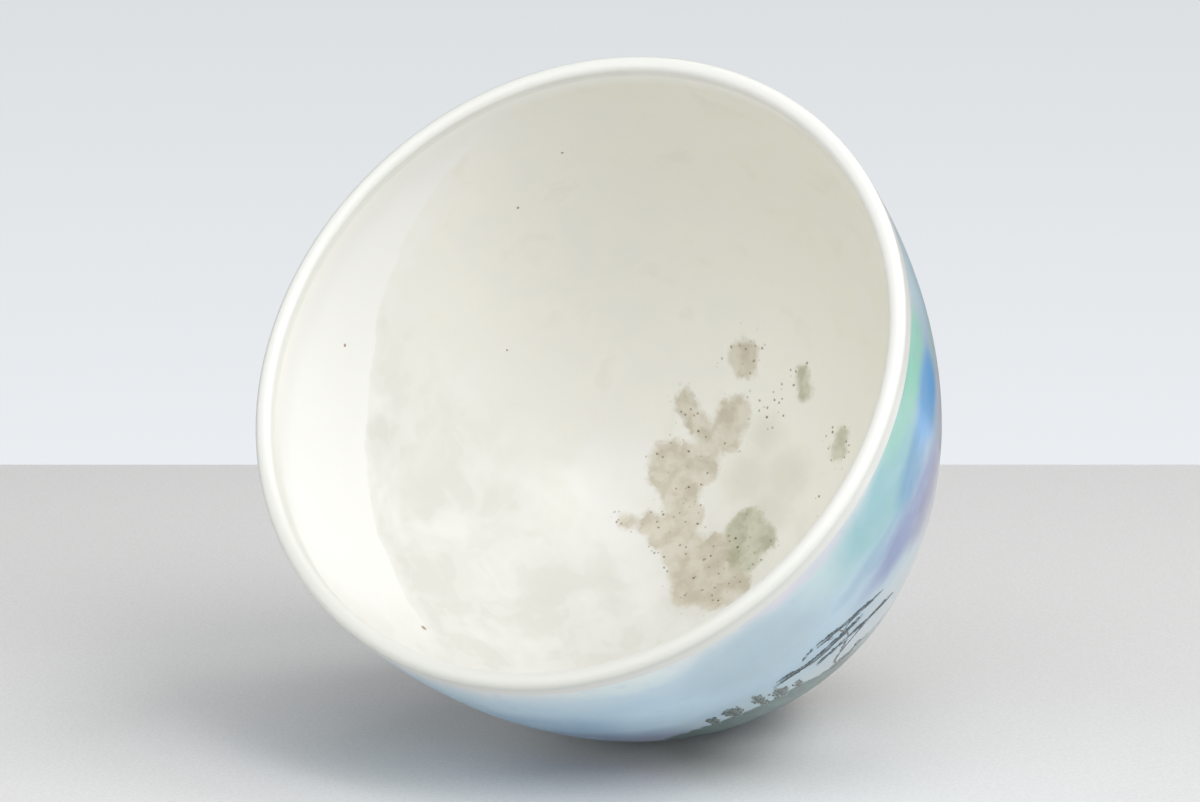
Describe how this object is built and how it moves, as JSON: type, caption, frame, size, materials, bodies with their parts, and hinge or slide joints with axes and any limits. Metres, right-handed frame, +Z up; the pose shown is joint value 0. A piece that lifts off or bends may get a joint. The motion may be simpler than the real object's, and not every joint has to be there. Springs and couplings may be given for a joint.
{
  "type": "tea bowl",
  "caption": "Deep round-bellied porcelain tea bowl with a smooth white lip, a low foot ring, a lustre coat outside and a small painted landscape.",
  "frame": {"origin": "centre of the foot ring's standing face", "axes": "+Z up along the bowl's axis, out of the mouth; the painted scene is centred on +X"},
  "size_m": [0.08, 0.08, 0.0605],
  "materials": {
    "white_porcelain": "fired, matt",
    "bare_clay": "bare, matt",
    "speckled_cream_glaze": "glossy",
    "white_lip_glaze": "glossy",
    "pearl_lustre_glaze": "pearly, glossy",
    "clear_base_glaze": "glossy",
    "green_enamel": "satin",
    "dark_green_enamel": "satin",
    "brown_enamel": "satin",
    "grey_enamel": "satin"
  },
  "bodies": {
    "root": {"porcelain_body": "white_porcelain", "foot_ring": "bare_clay", "inner_glaze": "speckled_cream_glaze", "lip_band": "white_lip_glaze", "outer_glaze": "pearl_lustre_glaze", "base_glaze": "clear_base_glaze", "bank_enamel": "green_enamel", "grove_enamel": "dark_green_enamel", "pine_trunk_enamel": "brown_enamel", "pine_needle_enamel": "grey_enamel"}
  },
  "joints": []
}
